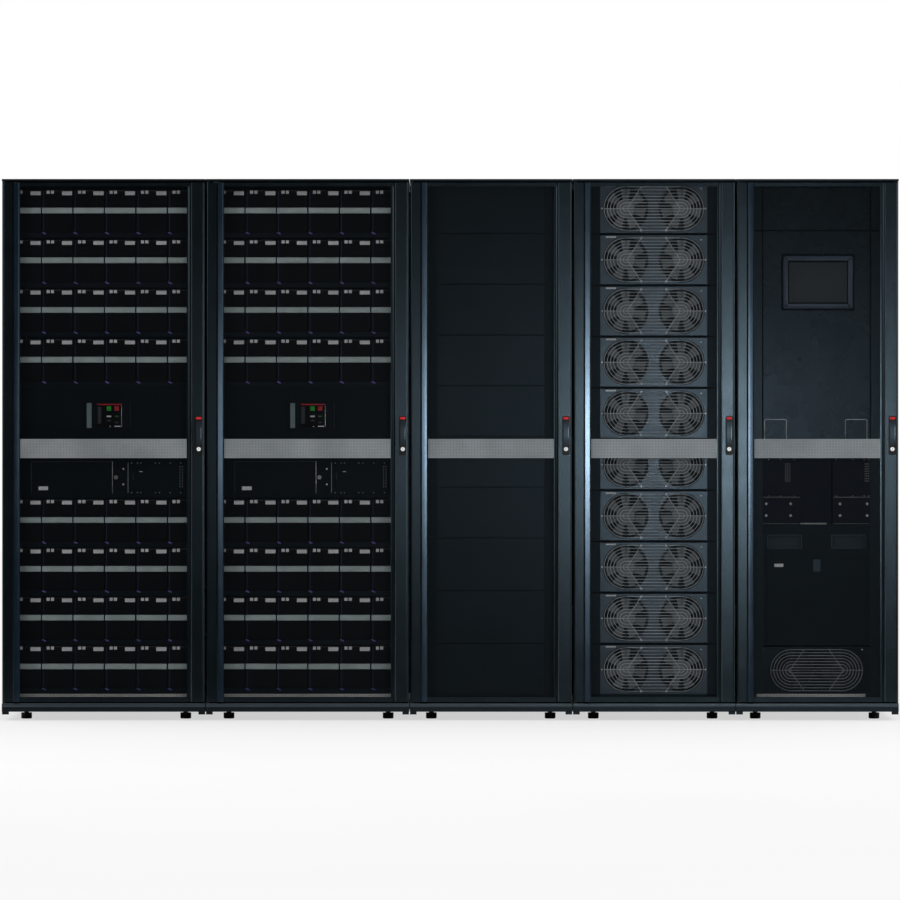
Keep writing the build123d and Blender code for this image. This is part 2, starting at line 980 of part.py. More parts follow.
rows = [(index, top) for index in battery_cabinets for top in shelf_tops()]
save("battery_shelves", [shelf(index, top) for index, top in rows])
save("battery_modules", [battery_module(x, top) for index, top in rows for x in module_middles(index)])
save("module_grips", [grip(x, top) for index, top in rows for x in module_middles(index)])
save("battery_switch_panels", [switch_panel(index) for index in battery_cabinets])
save("blank_panels", blank_panels())

fans = list(fan_places())
save("fan_modules", [fan_housing(*place) for place in fans])
sizes = {(height, spacing) for middle, bottom, height, spacing in fans}
wheels = {height: rotor(duct_radius(height) - rotor_tip_gap) for height, spacing in sizes}
wire_guards = {height: guard(spacing, height / 2 - guard_margin) for height, spacing in sizes}
guards = []
for number, (middle, bottom, height, spacing) in enumerate(fans, start=1):
    z = bottom + height / 2
    guards.append(Pos(middle, equipment_plane, z) * wire_guards[height])
    for side, x in (("left", middle - spacing / 2), ("right", middle + spacing / 2)):
        seated = Pos(x, equipment_plane + rotor_setback, z) * wheels[height]
        save_one("fan_" + str(number).zfill(2) + "_" + side, seated)
save("fan_guards", guards)

save("control_panels", control_panels())
save("switchgear", switchgear())
save_one("static_switch_module", switch_module())
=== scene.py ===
import math

import bmesh
import bpy
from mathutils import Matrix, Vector


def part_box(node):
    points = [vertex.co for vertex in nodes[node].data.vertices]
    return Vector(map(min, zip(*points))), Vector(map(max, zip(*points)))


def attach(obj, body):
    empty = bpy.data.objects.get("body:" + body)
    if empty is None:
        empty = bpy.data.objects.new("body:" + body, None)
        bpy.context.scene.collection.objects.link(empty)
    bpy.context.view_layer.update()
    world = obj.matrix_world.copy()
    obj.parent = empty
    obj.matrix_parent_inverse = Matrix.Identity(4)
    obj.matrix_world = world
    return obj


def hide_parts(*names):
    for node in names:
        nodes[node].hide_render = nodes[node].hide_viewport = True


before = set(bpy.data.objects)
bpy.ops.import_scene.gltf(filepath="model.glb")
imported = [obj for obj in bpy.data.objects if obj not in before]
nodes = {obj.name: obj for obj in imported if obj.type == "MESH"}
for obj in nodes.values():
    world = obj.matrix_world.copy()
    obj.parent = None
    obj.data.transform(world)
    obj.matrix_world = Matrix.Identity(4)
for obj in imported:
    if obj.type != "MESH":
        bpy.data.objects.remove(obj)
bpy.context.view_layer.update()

# Sizes of the row in metres, the same as in the part
cabinet_widths = [0.750, 0.750, 0.600, 0.600, 0.600]
cabinet_count = len(cabinet_widths)
row_width = sum(cabinet_widths)
cabinet_lefts = [sum(cabinet_widths[:index]) - row_width / 2 for index in range(cabinet_count)]
battery_cabinets = (0, 1)
power_cabinet = 3
control_cabinet = 4
door_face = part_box("base_frames")[0].y
equipment_plane = door_face + 0.060
base_top = 0.063
sunk_in_panel = 0.0003

# Sizes of a door
door_gap = 0.003
door_foot = 0.068
door_head = 1.978
hinge_stile = 0.065
hinge_flat = 0.037
latch_stile = 0.066
latch_flat = 0.048
nose_width = 0.028
nose_proud = 0.008
nose_radius = (nose_width**2 / 4 + nose_proud**2) / (2 * nose_proud)
rebate = 0.0085
lip_back = door_face + 0.010
opening_bottom = 0.086
opening_top = 1.964
band_bottom = 0.965
band_top = 1.035
band_front = door_face + 0.004
sheet_gap = 0.0005
screen_pitch = 0.00368
screen_bar = 0.0006

# Sizes of the trim strip on the rolled part of a hinge stile, and of the beads beside it
trim_radius = 0.25
trim_turn = math.radians(4.3)
trim_shift = 0.0020
trim_proud = 0.0003
trim_depth = 0.0006
trim_start = -0.0080
trim_width = 0.0170
trim_steps = 8
trim_short = 0.002
bead_sides = 10

# Sizes of the lock plate and the lever
lever_from_edge = 0.0216
lever_front = door_face - 0.016
lock_height = 0.998
plate_proud = 0.003
lock_proud = 0.003
plate_face = door_face - plate_proud
lock_face = plate_face - lock_proud
slot_foot = lock_height - 0.0025
slot_top = lock_height + 0.0025

# Left, right, front, back, foot, top and rounding of blocks, from the lever's middle
key_slot_shade = (-0.0005, 0.0005, lock_face - 0.0016, lock_face - 0.0004, slot_foot, slot_top, 0.0)
red_bar = (-0.0095, 0.0095, plate_face - 0.0030, plate_face + 0.0005, 1.1070, 1.1155, 0.0012)
# The lever's bright strip runs down its right side only, a painted highlight
lever_highlight_strip = (0.0076, 0.0094, lever_front + 0.0022, lever_front + 0.0075, 1.016, 1.098, 0.0006)

# Sizes of the battery packs
shelf_rows = [1.246 + 0.18325 * row for row in range(4)] + [0.115 + 0.180 * row for row in range(4)]
packs_on_shelf = 6
pack_height = 0.158
pack_pitch = 0.116
pack_face = equipment_plane + 0.008

# Sizes of the fan modules and of the fan tray at the foot of the last cabinet
fan_count = 10
fan_foot = 0.096
fan_pitch = 0.18878
fan_height = 0.17898
fan_spacing = 0.20602
fan_rows = [fan_foot + fan_pitch * (fan_count - 1 - row) for row in range(fan_count)]
tray_bottom = 0.098
tray_height = 0.170
tray_spacing = 0.186
guard_margin = 0.008
guard_front = equipment_plane - 0.0013
clip_proud = 0.0013
outer_ring = 0.0093
stay_near = 0.046

# Sizes of the control cabinet's panels
panel_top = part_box("control_panels")[1].z
top_panel = 0.157
panel_gap = 0.003
display_step = 0.089
display_height = 0.207


def cabinet_middle(index):
    return cabinet_lefts[index] + cabinet_widths[index] / 2


def new_object(name, data):
    made = bpy.data.objects.new(name, data)
    bpy.context.scene.collection.objects.link(made)
    return made


def add_node(tree, kind, settings=None, **links):
    # A link is named for its socket, or is _number for a socket by its place.
    made = tree.nodes.new(kind)
    for key, value in (settings or {}).items():
        setattr(made, key, value)
    for key, value in links.items():
        socket = made.inputs[int(key[1:]) if key[1:].isdigit() else key.replace("_", " ")]
        for item in value if isinstance(value, list) else [value]:
            if isinstance(item, bpy.types.NodeSocket):
                tree.links.new(item, socket)
            else:
                socket.default_value = item
    return made


def maths(tree, operation, first, second):
    return add_node(tree, "ShaderNodeMath", {"operation": operation}, _0=first, _1=second).outputs[0]


# Finishes
def shader_of(material):
    return material.node_tree.nodes["Principled BSDF"]


def finish(name, colour, roughness, metallic=0.0, specular=0.5, tint=None):
    made = bpy.data.materials.new(name)
    made.use_nodes = True
    shader = shader_of(made)
    shader.inputs["Base Color"].default_value = (*colour, 1)
    shader.inputs["Roughness"].default_value = roughness
    shader.inputs["Metallic"].default_value = metallic
    shader.inputs["Specular IOR Level"].default_value = specular
    if tint:
        shader.inputs["Specular Tint"].default_value = (*tint, 1)
    return made


def shader_node(material, kind, settings=None, **links):
    return add_node(material.node_tree, kind, settings, **links)


def feed_shader(material, output, name):
    material.node_tree.links.new(output, shader_of(material).inputs[name])


def object_place(material):
    return shader_node(material, "ShaderNodeTexCoord").outputs["Object"]


def mottle(material, place, colours, scale):
    # Two shades of one colour that drift into each other.
    cloud = shader_node(material, "ShaderNodeTexNoise", Vector=place, Scale=scale, Detail=3.0)
    ramp = shader_node(material, "ShaderNodeValToRGB", Fac=cloud.outputs["Fac"])
    for element, position, colour in zip(ramp.color_ramp.elements, (0.35, 0.65), colours):
        element.position = position
        element.color = (*colour, 1)
    feed_shader(material, ramp.outputs["Color"], "Base Color")


def grain(material, place, scale, strength, distance):
    # Fine relief of a powder coat or a moulded skin.
    speck = shader_node(material, "ShaderNodeTexNoise", Vector=place, Scale=scale, Detail=2.0)
    height = speck.outputs["Fac"]
    bump = shader_node(material, "ShaderNodeBump", Height=height, Strength=strength, Distance=distance)
    feed_shader(material, bump.outputs["Normal"], "Normal")


def uneven_gloss(material, place, scale, low, high):
    cloud = shader_node(material, "ShaderNodeTexNoise", Vector=place, Scale=scale, Detail=4.0)
    share = cloud.outputs["Fac"]
    span = shader_node(material, "ShaderNodeMapRange", Value=share, To_Min=low, To_Max=high)
    feed_shader(material, span.outputs["Result"], "Roughness")


def scaled(colour, factor):
    return tuple(channel * factor for channel in colour)


def powder_coat(name, colour, roughness, specular=0.2, tint=(0.55, 0.8, 1.0), relief=0.25):
    made = finish(name, colour, roughness, specular=specular, tint=tint)
    place = object_place(made)
    mottle(made, place, (scaled(colour, 0.86), scaled(colour, 1.14)), scale=7.0)
    grain(made, place, scale=900.0, strength=relief, distance=0.0003)
    uneven_gloss(made, place, scale=14.0, low=roughness - 0.04, high=roughness + 0.04)
    return made


def moulded(name, colour, roughness, specular=0.3):
    made = finish(name, colour, roughness, specular=specular)
    place = object_place(made)
    mottle(made, place, (scaled(colour, 0.9), scaled(colour, 1.1)), scale=25.0)
    grain(made, place, scale=1500.0, strength=0.2, distance=0.0002)
    return made


def bright_metal(name, colour, roughness, metallic=1.0):
    made = finish(name, colour, roughness, metallic=metallic)
    place = object_place(made)
    mottle(made, place, (scaled(colour, 0.85), colour), scale=60.0)
    uneven_gloss(made, place, scale=80.0, low=roughness - 0.08, high=roughness + 0.08)
    return made


def plain(name, colour, roughness):
    # Print, paint marks and small lamps, with a slight unevenness.
    made = finish(name, colour, roughness, specular=0.3)
    mottle(made, object_place(made), (scaled(colour, 0.92), colour), scale=120.0)
    return made


# Coats of the carcasses and the doors
rail_colour = (0.005, 0.006, 0.0075)
control_colour = (0.0030, 0.0041, 0.0054)
control_gloss = 0.27
frame_coat = powder_coat("frame_coat", (0.0028, 0.0034, 0.0044), 0.36, 0.3)
inner_steel = powder_coat("inner_steel", rail_colour, 0.42, 0.2)
rail_coat = powder_coat("rail_coat", rail_colour, 0.42, 0.2)
foot_steel = bright_metal("foot_steel", (0.03, 0.03, 0.032), 0.5)
door_coat = powder_coat("door_coat", (0.0020, 0.0030, 0.0040), 0.25, 0.5, (0.56, 0.82, 1.0))
nose_coat = powder_coat("nose_coat", (0.0020, 0.0062, 0.0150), 0.20, 0.88, (0.52, 0.76, 1.0), 0.08)
shader_of(nose_coat).inputs["IOR"].default_value = 1.65
# A lighter copy of the door paint for the edge beads and the base lips, a painted highlight on top of their
# real gloss
bead_highlight_coat = powder_coat("bead_highlight_coat", (0.012, 0.016, 0.020), 0.34, 0.8, (0.7, 0.88, 1.0))
mesh_coat = powder_coat("mesh_coat", (0.004, 0.0046, 0.0056), 0.45, 0.15)
band_coat = powder_coat("band_coat", (0.19, 0.20, 0.205), 0.5, 0.4)
lock_plastic = moulded("lock_plastic", (0.002, 0.002, 0.0022), 0.45, 0.3)
lock_white = plain("lock_white", (0.80, 0.81, 0.82), 0.35)
lever_metal = powder_coat("lever_metal", (0.010, 0.012, 0.015), 0.32, 0.5)
# Bright metal for the lever's right-edge strip, a painted highlight
lever_highlight_metal = bright_metal("lever_highlight_metal", (0.45, 0.56, 0.68), 0.35)

# Coats, plastics and metals of the equipment
blank_coat = powder_coat("blank_coat", (0.0055, 0.0075, 0.0095), 0.32, 0.25)
control_coat = powder_coat("control_coat", control_colour, control_gloss, 0.21)
module_coat = powder_coat("module_coat", (0.052, 0.058, 0.068), 0.32, 0.85)
switch_coat = powder_coat("switch_coat", (0.003, 0.0034, 0.0044), 0.5, 0.2)
gear_coat = powder_coat("gear_coat", (0.0030, 0.0030, 0.0062), 0.5, 0.15, (0.6, 0.65, 1.0))
battery_case = moulded("battery_case", (0.002, 0.0021, 0.0025), 0.55, 0.1)
grip_plastic = moulded("grip_plastic", (0.50, 0.60, 0.59), 0.45, 0.4)
fan_plastic = moulded("fan_plastic", (0.25, 0.29, 0.32), 0.5, 0.3)
tray_fan = moulded("tray_fan", (0.030, 0.033, 0.036), 0.5, 0.2)
guard_wire = bright_metal("guard_wire", (0.80, 0.84, 0.88), 0.45, 0.3)
tray_wire = bright_metal("tray_wire", (0.42, 0.45, 0.48), 0.45, 0.3)
screw_steel = bright_metal("screw_steel", (0.6, 0.61, 0.63), 0.4)
screw_zinc = bright_metal("screw_zinc", (0.85, 0.86, 0.88), 0.4, 0.3)
sill_grey = powder_coat("sill_grey", (0.90, 0.885, 0.85), 0.5, 0.3)
trim_grey = powder_coat("trim_grey", (0.20, 0.26, 0.27), 0.45, 0.3)
bezel_coat = powder_coat("bezel_coat", (0.085, 0.101, 0.145), 0.4, 0.5)
bezel_dark = powder_coat("bezel_dark", (0.052, 0.068, 0.080), 0.4, 0.3)
pocket_coat = powder_coat("pocket_coat", (0.027, 0.038, 0.045), 0.5, 0.2)
black_trim = moulded("black_trim", (0.0010, 0.0010, 0.0012), 0.5, 0.1)
# Flat black for the strips in the panel gaps, painted shade
gap_shade_black = moulded("gap_shade_black", (0.0004, 0.0004, 0.0005), 0.9, 0.0)
screen_glass = plain("screen_glass", (0.034, 0.048, 0.060), 0.55)

# Small marks, labels, lamps and buttons
label_white = plain("label_white", (0.88, 0.89, 0.90), 0.6)
lamp_white = plain("lamp_white", (0.75, 0.76, 0.78), 0.3)
# Pale grey for screws, thin strips and the dots along the packs' top edges, which are a painted highlight
pale_grey = plain("pale_grey", (0.34, 0.35, 0.36), 0.6)
edge_grey = plain("edge_grey", (0.045, 0.048, 0.052), 0.6)
violet_plastic = plain("violet_plastic", (0.16, 0.13, 0.50), 0.5)
dark_violet = plain("dark_violet", (0.018, 0.016, 0.080), 0.5)
mark_red = plain("mark_red", (0.60, 0.004, 0.008), 0.45)
mark_green = plain("mark_green", (0.01, 0.16, 0.012), 0.5)
button_red = plain("button_red", (0.55, 0.012, 0.014), 0.4)
button_green = plain("button_green", (0.008, 0.42, 0.008), 0.4)


def beyond(material, place, axis, limit):
    # One past the limit along an axis, and nothing before it.
    return maths(material.node_tree, "GREATER_THAN", place.outputs[axis], limit)


def recoat(material, where, colour, roughness):
    # Gives the coat another colour and gloss where the mask is one.
    for name, data, first, result, value in (
        ("Base Color", "RGBA", 6, 2, (*colour, 1)),
        ("Roughness", "FLOAT", 2, 0, roughness),
    ):
        before = shader_of(material).inputs[name].links[0].from_socket
        sides = {"_%d" % first: before, "_%d" % (first + 1): value}
        mixed = shader_node(material, "ShaderNodeMix", {"data_type": data}, _0=where, **sides)
        feed_shader(material, mixed.outputs[result], name)


# The fan tray at the foot of the last cabinet is black; the ducts behind the fans are painted black, painted
# shade in the recess.
tray_start = cabinet_lefts[control_cabinet]
duct_shade_start = equipment_plane + 0.004
tray_black_and_duct_shade = (0.0018, 0.0020, 0.0023)
module_place = shader_node(module_coat, "ShaderNodeSeparateXYZ", Vector=object_place(module_coat))
recoat(module_coat, beyond(module_coat, module_place, "X", tray_start), tray_black_and_duct_shade, 0.16)
# Painted shade: the fan ducts behind the modules' front are painted black
recoat(module_coat, beyond(module_coat, module_place, "Y", duct_shade_start), tray_black_and_duct_shade, 0.75)

# The rails beside the upper panels of the last cabinet have the panels' coat.
rail_coat_foot = 0.968
rail_place = shader_node(rail_coat, "ShaderNodeSeparateXYZ", Vector=object_place(rail_coat))
is_last = beyond(rail_coat, rail_place, "X", tray_start)
is_upper = beyond(rail_coat, rail_place, "Z", rail_coat_foot)
is_panel = maths(rail_coat.node_tree, "MINIMUM", is_last, is_upper)
recoat(rail_coat, is_panel, control_colour, control_gloss)

doors = ["door_%d" % (index + 1) for index in range(cabinet_count)]
wheels = [name for name in nodes if name.startswith("fan_") and name[4].isdigit()]
carried_over = [
    (frame_coat, ["base_frames", "roof_panels", "side_panels", "rear_panels"]),
    (inner_steel, ["corner_posts", "baying_blocks", "battery_shelves"]),
    (rail_coat, ["mounting_rails"]),
    (foot_steel, ["levelling_feet"]),
    (battery_case, ["battery_modules"]),
    (grip_plastic, ["module_grips"]),
    (switch_coat, ["battery_switch_panels", "static_switch_module"]),
    (gear_coat, ["switchgear"]),
    (blank_coat, ["blank_panels"]),
    (control_coat, ["control_panels"]),
    (module_coat, ["fan_modules"]),
    (guard_wire, ["fan_guards"]),
    (fan_plastic, wheels),
    (tray_fan, ["fan_%02d_%s" % (fan_count + 1, side) for side in ("left", "right")]),
    (door_coat, [door + "_frame" for door in doors]),
    (lock_plastic, [door + "_lock_plate" for door in doors]),
    (lever_metal, [door + "_lever" for door in doors]),
]
for material, names in carried_over:
    for name in names:
        nodes[name].data.materials.clear()
        nodes[name].data.materials.append(material)


# Geometry Nodes
def growing_tree(name, sizes):
    # An empty tree with a geometry input and one named number for each size.
    tree = bpy.data.node_groups.new(name, "GeometryNodeTree")
    tree.interface.new_socket("Places", in_out="INPUT", socket_type="NodeSocketGeometry")
    for label, value in sizes.items():
        kind = "NodeSocketInt" if isinstance(value, int) else "NodeSocketFloat"
        socket = tree.interface.new_socket(label, in_out="INPUT", socket_type=kind)
        socket.default_value = value
    tree.interface.new_socket("Material", in_out="INPUT", socket_type="NodeSocketMaterial")
    tree.interface.new_socket("Grown", in_out="OUTPUT", socket_type="NodeSocketGeometry")
    return tree, tree.nodes.new("NodeGroupInput").outputs


def vector_of(tree, x=0.0, y=0.0, z=0.0):
    return add_node(tree, "ShaderNodeCombineXYZ", X=x, Y=y, Z=z).outputs[0]


def joined(tree, shapes):
    return add_node(tree, "GeometryNodeJoinGeometry", Geometry=shapes).outputs["Geometry"]


def moved(tree, shape, **change):
    return add_node(tree, "GeometryNodeTransform", Geometry=shape, **change).outputs["Geometry"]


def faced_front(tree, shape):
    # Stands up a shape that was made lying flat.
    return moved(tree, shape, Rotation=(math.pi / 2, 0.0, 0.0))


def spread_on(tree, points, shape):
    spread = add_node(tree, "GeometryNodeInstanceOnPoints", Points=points, Instance=shape)
    return spread.outputs["Instances"]


def rounded_outline(tree, width, height, corner, steps):
    outline = add_node(tree, "GeometryNodeCurvePrimitiveQuadrilateral", Width=width, Height=height)
    ends = {"Curve": outline.outputs["Curve"], "Radius": corner, "Count": steps}
    return add_node(tree, "GeometryNodeFilletCurve", {"mode": "POLY"}, **ends).outputs["Curve"]


def end_tree(tree, inputs, shape):
    # Sets the shape on every place, makes it real and gives it the material.
    spread = spread_on(tree, inputs["Places"], shape)
    real = add_node(tree, "GeometryNodeRealizeInstances", Geometry=spread).outputs["Geometry"]
    painted = add_node(tree, "GeometryNodeSetMaterial", Geometry=real, Material=inputs["Material"])
    out = tree.nodes.new("NodeGroupOutput")
    tree.links.new(painted.outputs["Geometry"], out.inputs["Grown"])
    return tree


def bake(name, tree, places, material, slot, body="root", replaces=(), smooth=False, **sizes):
    # Runs a tree on its places and keeps the result as one plain mesh.
    seed = bpy.data.meshes.new(name + "_places")
    seed.from_pydata([tuple(place) for place in places], [], [])
    grower = new_object(name + "_grower", seed)
    modifier = grower.modifiers.new("grow", "NODES")
    modifier.node_group = tree
    sockets = {item.name: item.identifier for item in tree.interface.items_tree if item.in_out == "INPUT"}
    for label, value in sizes.items():
        modifier[sockets[label]] = value
    modifier[sockets["Material"]] = material
    grower.update_tag()
    depsgraph = bpy.context.evaluated_depsgraph_get()
    mesh = bpy.data.meshes.new_from_object(grower.evaluated_get(depsgraph))
    bpy.data.objects.remove(grower)
    mesh.name = name
    if smooth:
        mesh.shade_smooth()
    made = new_object(name, mesh)
    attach(made, body)
    if replaces:
        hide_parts(*replaces)


def perforated_sheet_tree():
    # Upright and level bars that leave square holes; the place is the sheet's lower left front corner.
    sizes = {"Width": 0.6, "Height": 0.9, "Pitch": 0.0055, "Bar": 0.0014, "Thickness": 0.0015}
    tree, inputs = growing_tree("perforated_sheet", sizes)
    bar_size = inputs["Bar"]
    thickness = inputs["Thickness"]
    upright_share = 0.8
    rows = []
    for upright in (True, False):
        span = inputs["Width"] if upright else inputs["Height"]
        length = inputs["Height"] if upright else inputs["Width"]
        free = maths(tree, "SUBTRACT", span, bar_size)
        count = maths(tree, "FLOOR", maths(tree, "DIVIDE", free, inputs["Pitch"]), 0.0)
        step = maths(tree, "DIVIDE", free, count)
        if upright:
            depth = maths(tree, "MULTIPLY", thickness, upright_share)
            size = vector_of(tree, bar_size, depth, length)
            offset = vector_of(tree, x=step)
        else:
            size = vector_of(tree, length, thickness, bar_size)
            offset = vector_of(tree, z=step)
        bar = add_node(tree, "GeometryNodeMeshCube", Size=size)
        half = add_node(tree, "ShaderNodeVectorMath", {"operation": "SCALE"}, _0=size, Scale=0.5).outputs[0]
        level = {"_0": half, "_1": (1.0, 0.0, 1.0)}
        corner = add_node(tree, "ShaderNodeVectorMath", {"operation": "MULTIPLY"}, **level).outputs[0]
        middle = vector_of(tree, y=maths(tree, "MULTIPLY", thickness, 0.5))
        place = add_node(tree, "ShaderNodeVectorMath", _0=corner, _1=middle).outputs[0]
        ends = {"Count": maths(tree, "ADD", count, 1.0), "Offset": offset, "Start_Location": place}
        line = add_node(tree, "GeometryNodeMeshLine", **ends)
        rows.append(spread_on(tree, line.outputs["Mesh"], bar.outputs["Mesh"]))
    return end_tree(tree, inputs, joined(tree, rows))


def screw_tree():
    # A pan head with a hexagon socket; it faces the front.
    tree, inputs = growing_tree("screw_heads", {"Radius": 0.004, "Proud": 0.002})

    def cone(sides, foot, top, depth):
        # Its sizes are shares of the head's.
        size = {
            "Radius_Bottom": maths(tree, "MULTIPLY", inputs["Radius"], foot),
            "Radius_Top": maths(tree, "MULTIPLY", inputs["Radius"], top),
            "Depth": maths(tree, "MULTIPLY", inputs["Proud"], depth),
        }
        return add_node(tree, "GeometryNodeMeshCone", Vertices=sides, **size).outputs["Mesh"]

    head = cone(sides=14, foot=1.0, top=0.72, depth=1.0)
    socket = cone(sides=6, foot=0.4, top=0.3, depth=0.2)
    lifted = moved(tree, socket, Translation=vector_of(tree, z=inputs["Proud"]))
    return end_tree(tree, inputs, faced_front(tree, joined(tree, [head, lifted])))


def rounded_plate_tree():
    # A thin plate with rounded corners, centred on its place, with its back there.
    sizes = {"Width": 0.04, "Height": 0.014, "Corner": 0.001, "Thickness": 0.0004, "Tilt": 0.0}
    tree, inputs = growing_tree("rounded_plates", sizes)
    outline = rounded_outline(tree, inputs["Width"], inputs["Height"], inputs["Corner"], steps=2)
    filled = add_node(tree, "GeometryNodeFillCurve", {"mode": "NGONS"}, Curve=outline).outputs["Mesh"]
    ends = {"Mesh": filled, "Offset_Scale": inputs["Thickness"]}
    raised = add_node(tree, "GeometryNodeExtrudeMesh", {"mode": "FACES"}, **ends).outputs["Mesh"]
    back = add_node(tree, "GeometryNodeFlipFaces", Mesh=filled).outputs["Mesh"]
    whole = joined(tree, [raised, back])
    sealed = add_node(tree, "GeometryNodeMergeByDistance", Geometry=whole, Distance=0.00001)
    tilted = moved(tree, sealed.outputs["Geometry"], Rotation=vector_of(tree, z=inputs["Tilt"]))
    return end_tree(tree, inputs, faced_front(tree, tilted))


def wire_guard_tree():
    # Racetrack rings of round wire, a straight middle wire and two bent stays.
    sizes = {
        "Spacing": 0.2,
        "Radius": 0.08,
        "Innermost": 0.011,
        "Rings": 7,
        "Wire": 0.0026,
        "Stay Near": stay_near,
        "Stay Far": 0.098,
    }
    tree, inputs = growing_tree("wire_guards", sizes)
    wire_radius = maths(tree, "MULTIPLY", inputs["Wire"], 0.5)
    profile = add_node(tree, "GeometryNodeCurvePrimitiveCircle", Resolution=6, Radius=wire_radius)
    outer = maths(tree, "SUBTRACT", inputs["Radius"], wire_radius)
    inner = maths(tree, "SUBTRACT", inputs["Innermost"], wire_radius)
    curves = []
    for ring in range(sizes["Rings"]):
        share = ring / (sizes["Rings"] - 1)
        outward = maths(tree, "MULTIPLY", outer, 1 - share)
        radius = maths(tree, "ADD", outward, maths(tree, "MULTIPLY", inner, share))
        tall = maths(tree, "MULTIPLY", radius, 2.0)
        wide = maths(tree, "ADD", tall, inputs["Spacing"])
        # A hair under half the height keeps the two arcs at an end from meeting in one point.
        corner = maths(tree, "MULTIPLY", radius, 0.999)
        curves.append(rounded_outline(tree, wide, tall, corner, steps=9))

    def straight(start, end):
        line = add_node(tree, "GeometryNodeCurvePrimitiveLine", Start=start, End=end)
        curves.append(line.outputs["Curve"])

    reach = maths(tree, "ADD", maths(tree, "MULTIPLY", inputs["Spacing"], 0.5), outer)
    straight(vector_of(tree, x=maths(tree, "MULTIPLY", reach, -1.0)), vector_of(tree, x=reach))
    for side in (-1.0, 1.0):
        near = maths(tree, "MULTIPLY", inputs["Stay Near"], side)
        far = maths(tree, "MULTIPLY", inputs["Stay Far"], side)
        for end in (-1.0, 1.0):
            top = maths(tree, "MULTIPLY", outer, end)
            straight(vector_of(tree, near, top, wire_radius), vector_of(tree, x=far, z=wire_radius))
    ends = {"Curve": joined(tree, curves), "Profile_Curve": profile.outputs["Curve"]}
    wires = add_node(tree, "GeometryNodeCurveToMesh", Fill_Caps=True, **ends)
    return end_tree(tree, inputs, faced_front(tree, wires.outputs["Mesh"]))


def dot_row_tree():
    # A row of small round dots, from its place to the right.
    sizes = {"Count": 12, "Pitch": 0.0055, "Radius": 0.0009, "Proud": 0.0004}
    tree, inputs = growing_tree("dot_rows", sizes)
    round_size = {"Vertices": 6, "Radius": inputs["Radius"], "Depth": inputs["Proud"]}
    dot = add_node(tree, "GeometryNodeMeshCylinder", **round_size)
    offset = vector_of(tree, x=inputs["Pitch"])
    line = add_node(tree, "GeometryNodeMeshLine", Count=inputs["Count"], Offset=offset)
    turned = faced_front(tree, dot.outputs["Mesh"])
    return end_tree(tree, inputs, spread_on(tree, line.outputs["Mesh"], turned))


def frame_tree():
    # A flat frame with rounded corners, centred on its place in width, height and depth.
    sizes = {"Width": 0.12, "Height": 0.05, "Corner": 0.003, "Rim": 0.002, "Proud": 0.001}
    tree, inputs = growing_tree("frames", sizes)
    wide = maths(tree, "SUBTRACT", inputs["Width"], inputs["Rim"])
    tall = maths(tree, "SUBTRACT", inputs["Height"], inputs["Rim"])
    section_size = {"Width": inputs["Rim"], "Height": inputs["Proud"]}
    section = add_node(tree, "GeometryNodeCurvePrimitiveQuadrilateral", **section_size)
    outline = rounded_outline(tree, wide, tall, inputs["Corner"], steps=4)
    ends = {"Curve": outline, "Profile_Curve": section.outputs["Curve"]}
    rim = add_node(tree, "GeometryNodeCurveToMesh", **ends)
    return end_tree(tree, inputs, faced_front(tree, rim.outputs["Mesh"]))


# Pieces made solid by solid
def add_part(whole, part, index):
    for face in part.faces:
        face.material_index = index
    mesh = bpy.data.meshes.new("part")
    part.to_mesh(mesh)
    part.free()
    whole.from_mesh(mesh)
    bpy.data.meshes.remove(mesh)


def add_block(whole, low, high, rounding=0.0, index=0):
    part = bmesh.new()
    bmesh.ops.create_cube(part, size=1)
    for vert in part.verts:
        vert.co = Vector([low[axis] + (vert.co[axis] + 0.5) * (high[axis] - low[axis]) for axis in range(3)])
    if rounding:
        edges = part.edges[:]
        bmesh.ops.bevel(part, geom=edges, offset=rounding, segments=2, profile=0.5, affect="EDGES")
    add_part(whole, part, index)


def add_raised(whole, middle, rows, finishes):
    # Each row is left, right, foot, top, back, proud, rounding and finish of a block on a panel.
    for left, right, foot, top, back, proud, rounding, material in rows:
        low = (middle + left, back - proud, foot)
        high = (middle + right, back + sunk_in_panel, top)
        add_block(whole, low, high, rounding, finishes.index(material))


def add_on_lever(whole, lever_x, block, index=0):
    left, right, front, back, foot, top, rounding = block
    add_block(whole, (lever_x + left, front, foot), (lever_x + right, back, top), rounding, index)


def circle(sides, radius, x, y):
    # Places on a circle, from its right side on.
    angles = [2 * math.pi * number / sides for number in range(sides)]
    return [(x + radius * math.cos(angle), y + radius * math.sin(angle)) for angle in angles]


def add_turned(whole, place, profile, sides=24, index=0):
    # A turned piece about a line along Y through its place; the profile is (radius, y) from the back.
    part = bmesh.new()
    rings = [
        [part.verts.new((x, place[1] + y, z)) for x, z in circle(sides, radius, place[0], place[2])]
        for radius, y in profile
    ]
    for first, second in zip(rings, rings[1:]):
        for number in range(sides):
            after = (number + 1) % sides
            part.faces.new((first[number], first[after], second[after], second[number]))
    part.faces.new(rings[0])
    part.faces.new(rings[-1][::-1])
    bmesh.ops.recalc_face_normals(part, faces=part.faces[:])
    add_part(whole, part, index)


def add_drawn(whole, first_ring, last_ring, index):
    # A solid drawn from one ring of points to another like it.
    part = bmesh.new()
    first = [part.verts.new(point) for point in first_ring]
    last = [part.verts.new(point) for point in last_ring]
    for number in range(len(first)):
        after = (number + 1) % len(first)
        part.faces.new((first[number], first[after], last[after], last[number]))
    part.faces.new(first[::-1])
    part.faces.new(last)
    bmesh.ops.recalc_face_normals(part, faces=part.faces[:])
    add_part(whole, part, index)


def add_upright(whole, outline, low, high, index=0):
    # A plan outline (x, y) stood up between two heights.
    add_drawn(whole, [(x, y, low) for x, y in outline], [(x, y, high) for x, y in outline], index)


